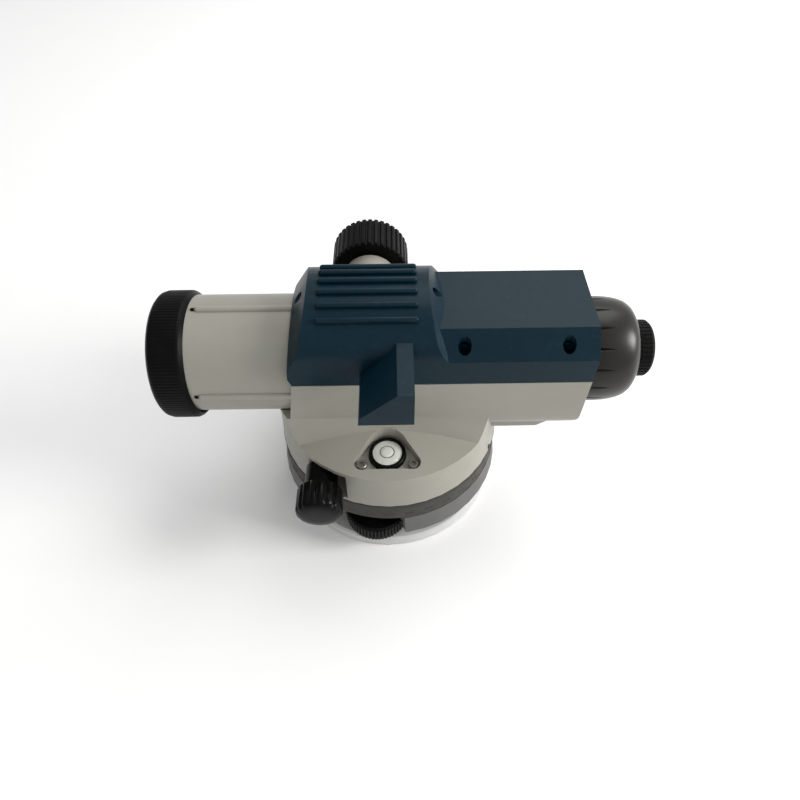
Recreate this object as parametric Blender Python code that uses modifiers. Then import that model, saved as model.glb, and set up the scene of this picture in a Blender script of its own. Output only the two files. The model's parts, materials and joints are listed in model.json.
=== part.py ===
"""Automatic level: a telescope that turns on a three-screw base and holds its own line of sight level.

Sizes are millimetres, and the helpers turn them into metres. The vertical axis is Z, with the origin on
the underside of the base plate. The telescope looks along -X, the eyepiece is at +X, the circular level
and its mirror are on the -Y side and the focus knob is on the +Y side.
"""

import math

import bmesh
import bpy
from mathutils import Matrix, Vector

MM = 0.001

# Telescope
AXIS_HEIGHT = 85.4
TUBE_RADIUS = 25.7
TUBE_BORE = 23.2
TUBE_RIB = 1.45
HOOD_RADIUS = 28.3
HOOD_FRONT = -98.0
HOOD_REAR = -82.7

# Housing: the drum at the bottom and the telescope body that crosses it
DRUM_RADIUS_LOW = 53.4
DRUM_RADIUS_HIGH = 52.2
DRUM_LOW = 39.4
DRUM_EDGE = 59.3
CONE_RADIUS = 29.8
CONE_HEIGHT = 65.8
BODY_HALF_WIDTH = 27.0
BODY_BOTTOM = 60.0
BODY_FLOOR = 64.5
BODY_RIM = 93.5
BODY_FRONT = -38.5
BODY_REAR = 84.8
BODY_CORNER = 11.0
DRUM_CEILING = 54.5
KEEL_BOTTOM = 54.6

# Cover
COVER_TOP = 116.0
COVER_TOP_HALF = 17.5
COVER_CREASE = 106.5
COVER_WALL = 2.2
SADDLE_RADIUS = 37.5
SADDLE_CORNER = 9.0
SADDLE_FRONT_EDGE = -32.0
SADDLE_REAR_EDGE = 17.6
SADDLE_END_AXIS = 69.1
RIB_RADIUS = 1.2
RIB_STEP = math.radians(10.2)
RIB_ENDS = (-27.5, 12.5)

# Base
PLATE_RADIUS = 53.3
PLATE_TOP = 6.0
TRIPOD_BORE = 7.9
TRIBRACH_LOW = 16.4
TRIBRACH_FLOOR = 21.8
TRIBRACH_TOP = 27.6
FOOT_CIRCLE = 40.6
FOOT_DEGREES = {"front": -99.2, "right": 20.8, "left": 140.8}
BALL_HEIGHT = 5.5
BALL_RADIUS = 4.4
FOOT_KNOB_RADIUS = 15.6
FOOT_KNOB_LOW = 9.0
FOOT_KNOB_HIGH = 20.0
FOOT_SCREW_TOP = 25.4

# Drives
TANGENT_X = -30.5
TANGENT_HEIGHT = 49.5
TANGENT_KNOB_RADIUS = 10.25
TANGENT_KNOB_INNER = 50.5
TANGENT_KNOB_OUTER = 63.6
TANGENT_COLLAR = (7.3, 39.3)
FOCUS_X = -8.3
FOCUS_HEIGHT = 88.0
PINION_RADIUS = 3.0
PINION_TEETH = 12
FOCUS_KNOB_RADIUS = 19.0
FOCUS_KNOB_INNER = 50.4
FOCUS_KNOB_OUTER = 71.0
SHAFT_END = 66.0
WHEEL_RADIUS = 27.0
WHEEL_TEETH = 36

# Circular level
VIAL_X = -0.6
VIAL_Y = -38.0
POCKET_FLOOR = 58.3
VIAL_SCREWS = ((-12.0, -43.5), (10.8, -43.5))

COVER_SCREWS = ((31.0, -22.3), (72.5, -22.3), (31.0, 22.3), (72.5, 22.3))
GAP = 0.3

for old in list(bpy.data.objects):
    bpy.data.objects.remove(old, do_unlink=True)

PARTS = bpy.data.collections.new("automatic_level")
CUTTERS = bpy.data.collections.new("cutters")
bpy.context.scene.collection.children.link(PARTS)
bpy.context.scene.collection.children.link(CUTTERS)


# ---------------------------------------------------------------- materials


def material(name, colour, roughness, metallic=0.0):
    """A Principled material in a part's own colour."""
    made = bpy.data.materials.new(name)
    made.use_nodes = True
    shader = made.node_tree.nodes["Principled BSDF"]
    shader.inputs["Base Color"].default_value = (*colour, 1.0)
    shader.inputs["Roughness"].default_value = roughness
    shader.inputs["Metallic"].default_value = metallic
    made.diffuse_color = (*colour, 1.0)
    return made


GREY_PAINT = material("grey_paint", (0.55, 0.53, 0.48), 0.45)
MID_GREY_PAINT = material("mid_grey_paint", (0.28, 0.28, 0.27), 0.5)
PALE_PAINT = material("pale_paint", (0.78, 0.78, 0.77), 0.4)
RING_GREY = material("ring_grey", (0.09, 0.09, 0.08), 0.6)
BLUE_PLASTIC = material("blue_plastic", (0.01, 0.06, 0.10), 0.45)
BLACK_PLASTIC = material("black_plastic", (0.012, 0.012, 0.012), 0.4)
BLACK_ANODISED = material("black_anodised", (0.02, 0.02, 0.02), 0.5, 0.6)
STEEL = material("steel", (0.56, 0.55, 0.53), 0.3, 1.0)
BRASS = material("brass", (0.72, 0.52, 0.24), 0.3, 1.0)
ALUMINIUM = material("aluminium", (0.72, 0.72, 0.72), 0.35, 1.0)
GLASS = material("glass", (0.85, 0.92, 0.90), 0.03)
MIRROR = material("mirror", (0.9, 0.9, 0.9), 0.02, 1.0)


# ------------------------------------------------------------------ helpers

TURNS = {
    "X": Matrix.Rotation(math.pi / 2, 4, "Y"),
    "Y": Matrix.Rotation(-math.pi / 2, 4, "X"),
    "Z": Matrix.Identity(4),
}
# Where a flat outline's first and second coordinates and its thickness point.
FLATS = {
    "X": Matrix(((0, 0, 1, 0), (1, 0, 0, 0), (0, 1, 0, 0), (0, 0, 0, 1))),
    "Y": Matrix(((1, 0, 0, 0), (0, 0, 1, 0), (0, 1, 0, 0), (0, 0, 0, 1))),
    "Z": Matrix.Identity(4),
}


def place(obj, surface):
    """Files an object as a part, with its material, or as a cutter when it has none."""
    if surface is None:
        CUTTERS.objects.link(obj)
        obj.hide_render = True
        obj.display_type = "WIRE"
    else:
        PARTS.objects.link(obj)
        obj.data.materials.clear()
        obj.data.materials.append(surface)
    return obj


def turned(name, profile, surface=None, axis="Z", at=(0, 0, 0), steps=28):
    """A turned solid: (radius, height) points down the outer side, closed by its bore or by its axis."""
    mesh = bpy.data.meshes.new(name)
    count = len(profile)
    closed = min(radius for radius, _ in profile) > 0
    edges = [(i, (i + 1) % count) for i in range(count if closed else count - 1)]
    mesh.from_pydata([(radius * MM, 0, height * MM) for radius, height in profile], edges, [])
    obj = bpy.data.objects.new(name, mesh)
    spin = obj.modifiers.new("turn", "SCREW")
    spin.angle = 2 * math.pi
    spin.steps = steps
    spin.render_steps = steps
    spin.use_merge_vertices = True
    spin.merge_threshold = 0.00001
    obj.matrix_world = Matrix.Translation(Vector(at) * MM) @ TURNS[axis]
    place(obj, surface)
    obj.data.shade_smooth()
    return obj


def rod(name, radius, low, high, surface=None, axis="Z", at=(0, 0, 0), steps=18):
    """A plain round bar between two heights on its axis."""
    profile = [(0, high), (radius, high), (radius, low), (0, low)]
    return turned(name, profile, surface, axis, at, steps)


def tube(name, bore, radius, low, high, surface=None, axis="Z", at=(0, 0, 0), steps=28):
    """A plain tube between two heights on its axis."""
    profile = [(bore, high), (radius, high), (radius, low), (bore, low)]
    return turned(name, profile, surface, axis, at, steps)


def slab(name, outline, low, high, surface=None, axis="Z"):
    """A flat outline with a thickness: (y, z) points along X, (x, z) points along Y, (x, y) points along Z."""
    curve = bpy.data.curves.new(name, "CURVE")
    curve.dimensions = "2D"
    curve.fill_mode = "BOTH"
    curve.extrude = (high - low) / 2 * MM
    spline = curve.splines.new("POLY")
    spline.points.add(len(outline) - 1)
    for point, (u, v) in zip(spline.points, outline):
        point.co = (u * MM, v * MM, 0, 1)
    spline.use_cyclic_u = True
    guide = bpy.data.objects.new(name + "_outline", curve)
    CUTTERS.objects.link(guide)
    graph = bpy.context.evaluated_depsgraph_get()
    mesh = bpy.data.meshes.new_from_object(guide.evaluated_get(graph))
    bpy.data.objects.remove(guide, do_unlink=True)
    shift = Matrix.Translation((0, 0, (low + high) / 2 * MM))
    mesh.transform(FLATS[axis] @ shift)
    shape = bmesh.new()
    shape.from_mesh(mesh)
    bmesh.ops.remove_doubles(shape, verts=shape.verts, dist=0.000001)
    bmesh.ops.recalc_face_normals(shape, faces=shape.faces)
    shape.to_mesh(mesh)
    shape.free()
    mesh.name = name
    return place(bpy.data.objects.new(name, mesh), surface)


def block(name, low, high, surface=None):
    """A box between two corners."""
    mesh = bpy.data.meshes.new(name)
    shape = bmesh.new()
    bmesh.ops.create_cube(shape, size=1)
    size = [(b - a) * MM for a, b in zip(low, high)]
    centre = [(a + b) / 2 * MM for a, b in zip(low, high)]
    bmesh.ops.scale(shape, vec=size, verts=shape.verts)
    bmesh.ops.translate(shape, vec=centre, verts=shape.verts)
    shape.to_mesh(mesh)
    shape.free()
    return place(bpy.data.objects.new(name, mesh), surface)


def boolean(obj, others, operation):
    for other in others:
        step = obj.modifiers.new(operation.lower() + "_" + other.name, "BOOLEAN")
        step.operation = operation
        step.object = other
    return obj


def cut(obj, *others):
    return boolean(obj, others, "DIFFERENCE")


def join(obj, *others):
    return boolean(obj, others, "UNION")


def keep(obj, *others):
    return boolean(obj, others, "INTERSECT")


def arc(centre, radius, start, end, steps):
    """Points on a circle from one angle to another, in degrees."""
    angles = [math.radians(start + (end - start) * i / steps) for i in range(steps + 1)]
    return [(centre[0] + radius * math.cos(a), centre[1] + radius * math.sin(a)) for a in angles]


def on_circle(radius, degrees):
    """A point on a circle about an outline's centre."""
    angle = math.radians(degrees)
    return (radius * math.cos(angle), radius * math.sin(angle))


def around(radius, degrees, height=0.0):
    """A point at this distance from the vertical axis."""
    return (*on_circle(radius, degrees), height)


def lens(name, radius, low, high, sag_low, sag_high, surface=GLASS, steps=20):
    """A lens on the telescope axis; a positive sag bulges its face outwards, a negative one hollows it."""

    def face(edge, sag, out):
        return [(radius * k / 3, edge + out * sag * (1 - (k / 3) ** 2)) for k in range(4)]

    upper = face(high, sag_high, 1)
    lower = face(low, sag_low, -1)
    profile = upper + lower[::-1]
    return turned(name, profile, surface, "X", (0, 0, AXIS_HEIGHT), steps)


def on_axis(maker, name, *values, **settings):
    """A turned piece on the telescope axis, with its heights read as X."""
    return maker(name, *values, axis="X", at=(0, 0, AXIS_HEIGHT), **settings)


# --------------------------------------------------------------- base plate


def make_base():
    plate = turned(
        "base_plate",
        [
            (TRIPOD_BORE, PLATE_TOP),
            (PLATE_RADIUS - 1.2, PLATE_TOP),
            (PLATE_RADIUS, PLATE_TOP - 1.0),
            (PLATE_RADIUS, 0),
            (TRIPOD_BORE, 0),
        ],
        PALE_PAINT,
        steps=40,
    )
    spring = turned(
        "spring_plate", [(12.0, 8.2), (46.0, 8.2), (46.0, 7.4), (12.0, 7.4)], STEEL, steps=28
    )
    for foot, degrees in FOOT_DEGREES.items():
        at = around(FOOT_CIRCLE, degrees)
        cut(plate, ball(f"socket_{foot}", BALL_RADIUS + GAP, (at[0], at[1], BALL_HEIGHT)))
        cut(spring, rod(f"ball_hole_{foot}", 4.15, 6, 10, at=at))
        side = around(58, degrees + 60)
        cut(spring, rod(f"scallop_{foot}", 26, 6, 10, at=side, steps=20))
        seat = around(24, degrees + 60)
        join(plate, rod(f"spacer_{foot}", 3.5, 5, 7.1, at=seat, steps=10))
        cut(plate, rod(f"tapping_{foot}", 1.7, 2.0, 12, at=seat, steps=8))
        cut(spring, rod(f"screw_hole_{foot}", 1.8, 6, 10, at=seat, steps=8))
        turned(
            f"spring_plate_screw_{foot}",
            [(0, 10.3), (2.8, 10.3), (2.8, 8.5), (1.4, 8.5), (1.4, 2.4), (0, 2.4)],
            STEEL,
            at=seat,
            steps=8,
        )


def ball(name, radius, at, surface=None):
    """A ball, turned from a half circle."""
    angles = [math.pi * k / 8 for k in range(1, 8)]
    profile = [(radius * math.sin(a), radius * math.cos(a)) for a in angles]
    return turned(name, [(0, radius)] + profile + [(0, -radius)], surface, at=at, steps=12)


# -------------------------------------------------------------- foot screws


def make_foot(foot, degrees):
    """A knob and its threaded stem, with the ball end that stands in the base plate's socket."""
    at = around(FOOT_CIRCLE, degrees)
    low, high, radius = FOOT_KNOB_LOW, FOOT_KNOB_HIGH, FOOT_KNOB_RADIUS
    turned(
        f"foot_knob_{foot}",
        [
            (3.7, high),
            (radius - 1.5, high),
            (radius, high - 1.2),
            (radius, low + 1.2),
            (radius - 1.2, low),
            (3.7, low),
        ],
        BLACK_PLASTIC,
        at=at,
        steps=24,
    )
    top = FOOT_SCREW_TOP
    screw = turned(
        f"foot_screw_{foot}",
        [(0, top), (3.0, top), (3.4, top - 0.4), (3.4, 10.4), (1.6, 10.4), (1.6, 6.0), (0, 6.0)],
        STEEL,
        at=at,
        steps=14,
    )
    end_at = (at[0], at[1], BALL_HEIGHT)
    if foot == "left":
        # This ball is a piece of its own: it is the joint that the whole head tilts about.
        end = ball("foot_ball_left", BALL_RADIUS, end_at, STEEL)
        cut(end, rod("ball_bore", 2.0, 5.2, 12, at=at, steps=10))
    else:
        join(screw, ball(f"ball_end_{foot}", BALL_RADIUS, end_at))


# ------------------------------------------------------ tribrach and circle


def make_tribrach():
    tribrach = turned(
        "tribrach",
        [
            (12.3, 31.0),
            (40.2, 31.0),
            (40.2, TRIBRACH_TOP),
            (53.8, TRIBRACH_TOP),
            (55.3, TRIBRACH_LOW),
            (52.8, TRIBRACH_LOW),
            (51.8, TRIBRACH_FLOOR),
            (12.3, TRIBRACH_FLOOR),
        ],
        MID_GREY_PAINT,
        steps=40,
    )
    for foot, degrees in FOOT_DEGREES.items():
        at = around(FOOT_CIRCLE, degrees)
        outside = around(62.0, degrees)
        cut(tribrach, rod(f"knob_room_{foot}", 17.3, 10, 22.4, at=at, steps=24))
        cut(tribrach, rod(f"finger_room_{foot}", 18.5, 9, 30, at=outside, steps=28))
        cut(tribrach, rod(f"thread_hole_{foot}", 4.4, 20, 30, at=at, steps=14))


def make_vertical_axis():
    tube("axis_sleeve", 9.06, 12.0, TRIBRACH_FLOOR, 53.0, STEEL)
    turned(
        "spindle",
        [(0, 54.2), (15.0, 54.2), (15.0, 53.3), (9.0, 53.3), (9.0, 23.0), (0, 23.0)],
        STEEL,
    )
    turned(
        "horizontal_circle",
        [(50.9, 39.1), (53.3, 39.1), (53.6, 27.9), (40.6, 27.9), (40.6, 31.3), (50.9, 31.3)],
        RING_GREY,
        steps=40,
    )
    floor = turned(
        "drum_floor", [(12.6, 42.3), (49.5, 42.3), (49.5, 40.0), (12.6, 40.0)], ALUMINIUM, steps=28
    )
    for side in (-1, 1):
        low, high = sorted((side * 35.2, side * 60))
        corner = TANGENT_X - 14.8, low, 38
        cut(floor, block(f"floor_notch_{side + 1}", corner, (TANGENT_X + 14.8, high, 44)))


# ------------------------------------------------------------- main housing


def body_section(half_width, floor, rim, corner):
    """The telescope body's trough section: upright sides and a floor with round corners."""
    side = half_width - corner
    return (
        [(half_width, rim), (half_width, floor + corner)]
        + arc((side, floor + corner), corner, 0, -90, 5)[1:]
        + arc((-side, floor + corner), corner, -90, -180, 5)
        + [(-half_width, rim)]
    )


def make_housing():
    body = slab(
        "main_body",
        body_section(BODY_HALF_WIDTH, BODY_BOTTOM, BODY_RIM, BODY_CORNER),
        -60,
        BODY_REAR,
        GREY_PAINT,
        "X",
    )
    side_view = [(BODY_FRONT, 100), (BODY_REAR, 100)]
    side_view += arc((BODY_REAR - 9, 69.2), 9, 0, -90, 5)
    side_view += [(BODY_REAR - 20, 50), (-46.0, 50), (-43.0, 71.5)]
    keep(body, slab("side_view", side_view, -60, 60, axis="Y"))
    drum = turned(
        "drum",
        [
            (0, CONE_HEIGHT),
            (CONE_RADIUS, CONE_HEIGHT),
            (DRUM_RADIUS_HIGH, DRUM_EDGE),
            (DRUM_RADIUS_LOW, DRUM_LOW),
            (0, DRUM_LOW),
        ],
        steps=40,
    )
    slope = [(27.0, 71.5), (-27.0, 71.5), (-39.0, 47.1), (39.0, 47.1)]
    shoulder = slab("shoulder", slope, -60, 60, axis="X")
    keep(shoulder, rod("drum_outside", DRUM_RADIUS_HIGH, 40, 80, steps=40))
    keel = [(40.0, 62.0), (40.0, KEEL_BOTTOM), (69.0, KEEL_BOTTOM), (77.0, 60.5), (77.0, 62.0)]
    join(body, drum, shoulder, slab("keel", keel, -20.0, 20.0, axis="Y"))

    room = rod("drum_room", 50.0, 30, DRUM_CEILING, steps=40)
    trough = slab("trough", body_section(24.5, BODY_FLOOR, 120, 8.0), -36.0, BODY_REAR - 2.6, axis="X")
    cut(body, room_with_bearings(room), trough)
    cut(body, on_axis(rod, "tube_seat", TUBE_RADIUS + GAP, -70, -33.0, steps=28))
    cut(body, on_axis(rod, "eyepiece_seat", 12.0, 70, 100, steps=20))
    for number, (x, y) in enumerate(COVER_SCREWS):
        join(body, rod(f"boss_{number}", 3.4, 68, BODY_RIM, at=(x, y, 0), steps=10))
        cut(body, rod(f"boss_hole_{number}", 1.7, 82, 96, at=(x, y, 0), steps=8))
    focus_at = (FOCUS_X, 0, FOCUS_HEIGHT)
    cut(body, rod("focus_bush_hole", 8.0, 20, 40, axis="Y", at=focus_at, steps=18))
    for side in (-1, 1):
        low, high = sorted((side * 38.0, side * 70))
        pocket = block(f"knob_pocket_{side + 1}", (-42, low, 41.0), (-19, high, 57.2))
        cut(body, pocket)
    shaft_at = (TANGENT_X, 0, TANGENT_HEIGHT)
    cut(body, rod("shaft_bore", 2.58, -45, 45, axis="Y", at=shaft_at, steps=18))

    rear = arc((VIAL_X, VIAL_Y), 9.4, 152, 28, 10)
    right = arc(VIAL_SCREWS[1], 3.3, 20, -90, 5)
    left = arc(VIAL_SCREWS[0], 3.3, -90, -200, 5)
    cut(body, slab("level_pocket", rear + right + left, POCKET_FLOOR, 90))
    cut(body, rod("ring_room", 8.9, POCKET_FLOOR, 70, at=(VIAL_X, VIAL_Y, 0), steps=28))
    cut(body, rod("level_hole", 8.5, 55.1, 70, at=(VIAL_X, VIAL_Y, 0), steps=20))
    for number, (x, y) in enumerate(VIAL_SCREWS):
        cut(body, rod(f"level_screw_hole_{number}", 1.5, 55.2, 70, at=(x, y, 0), steps=8))


def room_with_bearings(room):
    """The drum's room, less the two walls that carry the tangent shaft."""
    for side in (-1, 1):
        low, high = sorted((side * 35.5, side * 60))
        wall = block(f"bearing_wall_{side + 1}", (TANGENT_X - 14.5, low, 20), (TANGENT_X + 14.5, high, 60))
        cut(room, wall)
    return room


# -------------------------------------------------------------------- cover


def saddle_section(grow):
    """The saddle's section: upright sides, round shoulders and a back centred on the telescope."""
    inset = BODY_HALF_WIDTH - SADDLE_CORNER
    rise = math.sqrt((SADDLE_RADIUS - SADDLE_CORNER) ** 2 - inset**2)
    start = math.degrees(math.atan2(rise, inset))
    shoulder = AXIS_HEIGHT + rise
    right = arc((inset, shoulder), SADDLE_CORNER + grow, 0, start, 4)
    left = arc((-inset, shoulder), SADDLE_CORNER + grow, 180 - start, 180, 4)
    back = arc((0, AXIS_HEIGHT), SADDLE_RADIUS + grow, start, 180 - start, 10)
    half = BODY_HALF_WIDTH + grow
    low = BODY_RIM + GAP
    return [(half, low)] + right + back[1:-1] + left + [(-half, low)]


def rear_section(grow):
    """The rear cover's section: upright sides, a sloping facet and a flat top."""
    half = BODY_HALF_WIDTH + grow
    shift = grow * math.tan(math.pi / 8)
    low = BODY_RIM + GAP
    right = [(half, low), (half, COVER_CREASE + shift), (COVER_TOP_HALF + shift, COVER_TOP + grow)]
    return right + [(-y, z) for y, z in reversed(right)]


def saddle_side_view(grow):
    """The saddle seen from the side: its front leans back above a bevelled lower edge."""
    return [
        (BODY_FRONT - 0.7 - grow, 80.0),
        (BODY_FRONT - 0.7 - grow, BODY_RIM + GAP),
        (BODY_FRONT - 2.1 - grow, BODY_RIM + 4.0),
        (BODY_FRONT + 0.9 - grow, 126.0),
        (32.0, 126.0),
        (32.0, 80.0),
    ]


def saddle_ends(name, grow):
    """A turned shape whose cones cut the saddle's ends to sloping fans."""
    widest = 60.0
    crown = AXIS_HEIGHT + SADDLE_RADIUS - SADDLE_END_AXIS
    rear_slope, front_slope = 0.913, 0.75
    rear, front = SADDLE_REAR_EDGE, SADDLE_FRONT_EDGE
    ends = [
        (0, 32.0),
        (crown - (32.0 - rear) / rear_slope + grow, 32.0),
        (widest + grow, rear - (widest - crown) * rear_slope),
        (widest + grow, front + (widest - crown) * front_slope),
        (crown - (front + 48.0) / front_slope + grow, -48.0),
        (0, -48.0),
    ]
    return turned(name, ends, axis="X", at=(0, 0, SADDLE_END_AXIS), steps=60)


def cover_solid(name, grow, surface=None):
    """The cover's outside, or its inside when grow is negative."""
    saddle = slab(name, saddle_section(grow), BODY_FRONT - 5, 32.0, surface, "X")
    keep(saddle, slab(name + "_side", saddle_side_view(grow), -60, 60, axis="Y"))
    keep(saddle, saddle_ends(name + "_ends", 2 * min(grow, 0) + max(grow, 0)))
    rear_end = BODY_REAR + min(grow, 0)
    join(saddle, slab(name + "_rear", rear_section(grow), 10, rear_end, axis="X"))
    if grow < 0:
        half = BODY_HALF_WIDTH + grow
        front, rear = BODY_FRONT + COVER_WALL, BODY_REAR - COVER_WALL
        join(saddle, block(name + "_mouth", (front, -half, BODY_RIM - 5), (rear, half, 96)))
    return saddle


def join_ribs(obj, name, radius, start, end):
    """Adds the six finger ribs to a saddle."""
    for k in range(6):
        angle = (k - 2.5) * RIB_STEP
        at = (0, SADDLE_RADIUS * math.sin(angle), AXIS_HEIGHT + SADDLE_RADIUS * math.cos(angle))
        join(obj, rod(f"{name}_{k}", radius, start, end, axis="X", at=at, steps=8))
    return obj


def make_cover():
    """The blue cover with its ribs, screw posts and holes, and its four screws."""
    cover = cover_solid("top_cover", 0, BLUE_PLASTIC)
    join_ribs(cover, "saddle_rib", RIB_RADIUS, *RIB_ENDS)
    cut(cover, cover_solid("cover_inside", -COVER_WALL))
    for number, (x, y) in enumerate(COVER_SCREWS):
        join(cover, rod(f"post_{number}", 3.7, BODY_RIM + GAP, 109.0, at=(x, y, 0), steps=10))
    # The outside, a hair larger at its ribs, trims the posts.
    start, end = RIB_ENDS
    outside = cover_solid("cover_outside", 0)
    keep(cover, join_ribs(outside, "kept_rib", RIB_RADIUS + 0.01, start - 0.1, end + 0.1))
    for number, (x, y) in enumerate(COVER_SCREWS):
        cut(cover, rod(f"counterbore_{number}", 2.8, 100.0, 125, at=(x, y, 0), steps=10))
        cut(cover, rod(f"clearance_{number}", 1.7, 90, 101, at=(x, y, 0), steps=8))
        turned(
            f"cover_screw_{number + 1}",
            [(0, 102.8), (2.5, 102.8), (2.5, 100.3), (1.4, 100.3), (1.4, 84.0), (0, 84.0)],
            STEEL,
            at=(x, y, 0),
            steps=8,
        )
    cut(cover, on_axis(rod, "cover_tube_seat", TUBE_RADIUS + GAP, -70, -33.0, steps=28))
    cut(cover, on_axis(rod, "cover_eyepiece_seat", 12.0, 70, 100, steps=20))
    bush_at = (FOCUS_X, 0, FOCUS_HEIGHT)
    cut(cover, rod("cover_bush_hole", 8.0, 20, 40, axis="Y", at=bush_at, steps=20))
    for name, start, end, height in (("front", -50.0, -33.8, 117.6), ("rear", 18.9, 40.0, 118.9)):
        recess = rod(f"saddle_screw_hole_{name}", 2.5, start, end, axis="X", at=(0, 0, height), steps=12)
        cut(cover, recess)


def make_mirror_hood():
    """The blue hood beside the saddle, open below and behind, with its mirror over the circular level."""
    outer = [(10.4, 97.6), (10.4, 114.8), (4.0, 114.8), (-10.6, 101.4), (-11.2, 97.6)]
    hood = slab("mirror_hood", outer, -50.5, -18, BLUE_PLASTIC, "Y")
    inner = [(14.0, 90.0), (14.0, 113.2), (4.6, 113.2), (-9.0, 100.7), (-9.6, 90.0)]
    cut(hood, slab("hood_inside", inner, -48.9, -10, axis="Y"))
    cut(hood, cover_solid("hood_seat", GAP))
    mirror = [(4.4, 112.6), (-8.4, 100.8), (-7.4, 99.8), (5.4, 111.6)]
    slab("bubble_mirror", mirror, -48.0, -28.0, MIRROR, "Y")


def make_level():
    at = (VIAL_X, VIAL_Y, 0)
    turned(
        "level_holder",
        [(0, 56.2), (6.9, 56.2), (6.9, 60.8), (8.2, 60.8), (8.2, 55.5), (0, 55.5)],
        BLACK_PLASTIC,
        at=at,
        steps=20,
    )
    turned(
        "level_vial",
        [(0, 60.9), (4.0, 60.7), (6.5, 60.2), (6.5, 56.5), (0, 56.5)],
        GLASS,
        at=at,
        steps=20,
    )
    for number, (x, y) in enumerate(VIAL_SCREWS):
        turned(
            f"level_screw_{number + 1}",
            [(0, 60.0), (2.3, 60.0), (2.3, 58.6), (1.2, 58.6), (1.2, 55.5), (0, 55.5)],
            STEEL,
            at=(x, y, 0),
            steps=10,
        )


# --------------------------------------------------------------- objective


def make_objective():
    barrel = on_axis(tube, "telescope_tube", TUBE_BORE, TUBE_RADIUS, -94.7, -33.4, GREY_PAINT, steps=28)
    for number, degrees in enumerate((0, 90, 180)):
        y, z = on_circle(TUBE_RADIUS, degrees)
        at = (0, y, AXIS_HEIGHT + z)
        join(barrel, rod(f"tube_rib_{number}", TUBE_RIB, -79.5, -43.5, axis="X", at=at, steps=8))
    on_axis(
        turned,
        "objective_hood",
        [
            (26.1, HOOD_REAR),
            (HOOD_RADIUS - 1.2, HOOD_REAR),
            (HOOD_RADIUS, HOOD_REAR - 1.2),
            (HOOD_RADIUS, HOOD_FRONT + 2.0),
            (HOOD_RADIUS - 2.2, HOOD_FRONT),
            (23.4, HOOD_FRONT),
            (23.4, -95.1),
            (26.1, -95.1),
        ],
        BLACK_PLASTIC,
        steps=32,
    )
    on_axis(
        turned,
        "objective_cell",
        [(17.5, -78), (22.9, -78), (22.9, -93), (20.0, -93), (20.0, -80.2), (17.5, -80.2)],
        BLACK_ANODISED,
        steps=20,
    )
    on_axis(tube, "objective_retaining_ring", 17.6, 19.7, -92.6, -90.6, BLACK_ANODISED, steps=20)
    lens("objective_crown_lens", 19.6, -88.6, -86.6, 1.6, 1.4)
    lens("objective_flint_lens", 19.6, -84.6, -81.0, -1.4, 0.4)


# ------------------------------------------------------------------ focusing


def pinion_outline():
    """Twelve narrow teeth around the pinion."""
    points = []
    for k in range(PINION_TEETH):
        middle = -90 + 360 * k / PINION_TEETH
        for radius, degrees in ((2.4, -5.5), (3.45, -2.6), (3.45, 2.6), (2.4, 5.5)):
            points.append(on_circle(radius, middle + degrees))
    return [(FOCUS_X + x, FOCUS_HEIGHT + z) for x, z in points]


def rack_outline():
    """A bar with teeth at the pinion's pitch, and a gap under the pinion's axis."""
    pitch = 2 * math.pi * PINION_RADIUS / PINION_TEETH
    top = FOCUS_HEIGHT - PINION_RADIUS
    points = []
    for k in range(-8, 8):
        middle = FOCUS_X + (k + 0.5) * pitch
        points += [
            (middle - 0.3, top - 0.7),
            (middle - 0.16, top + 0.4),
            (middle + 0.16, top + 0.4),
            (middle + 0.3, top - 0.7),
        ]
    end = FOCUS_X + 8.5 * pitch
    start = FOCUS_X - 8.5 * pitch
    return [(start, top - 0.7)] + points + [(end, top - 0.7), (end, top - 3.6), (start, top - 3.6)]


def make_focusing():
    at = (FOCUS_X, 0, FOCUS_HEIGHT)
    inner, outer, radius = FOCUS_KNOB_INNER, FOCUS_KNOB_OUTER, FOCUS_KNOB_RADIUS
    turned(
        "focus_knob",
        [
            (0, outer),
            (radius - 2.2, outer),
            (radius, outer - 1.8),
            (radius, inner + 1.0),
            (radius - 1.0, inner),
            (2.5, inner),
            (2.5, SHAFT_END + GAP),
            (0, SHAFT_END + GAP),
        ],
        BLACK_PLASTIC,
        "Y",
        at,
        28,
    )
    turned(
        "focus_bush",
        [(2.26, 50.0), (12.7, 50.0), (12.7, 27.3), (7.7, 27.3), (7.7, 22.5), (2.26, 22.5)],
        GREY_PAINT,
        "Y",
        at,
        24,
    )
    pinion = slab("focus_pinion", pinion_outline(), 15.5, 19.5, STEEL, "Y")
    join(pinion, rod("pinion_shaft", 2.2, 18.5, SHAFT_END, axis="Y", at=at, steps=18))
    slab("focus_rack", rack_outline(), 15.5, 19.5, BRASS, "Y")
    on_axis(tube, "focusing_cell", 12.5, 15.0, -20, 4, BRASS, steps=20)
    lens("focusing_lens", 12.2, -17.0, -13.0, -1.0, -1.0, steps=18)
    sleeve = on_axis(tube, "guide_sleeve", 15.1, 18.0, -31, 17, ALUMINIUM, steps=20)
    cut(sleeve, block("rack_slot", (-40, 8, 79.6), (30, 30, 93.5)))
    lug = block("sleeve_lug", (-28, -24.2, 80), (-18, -16.5, 90))
    join(sleeve, lug)


# --------------------------------------------------------------- compensator


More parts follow.
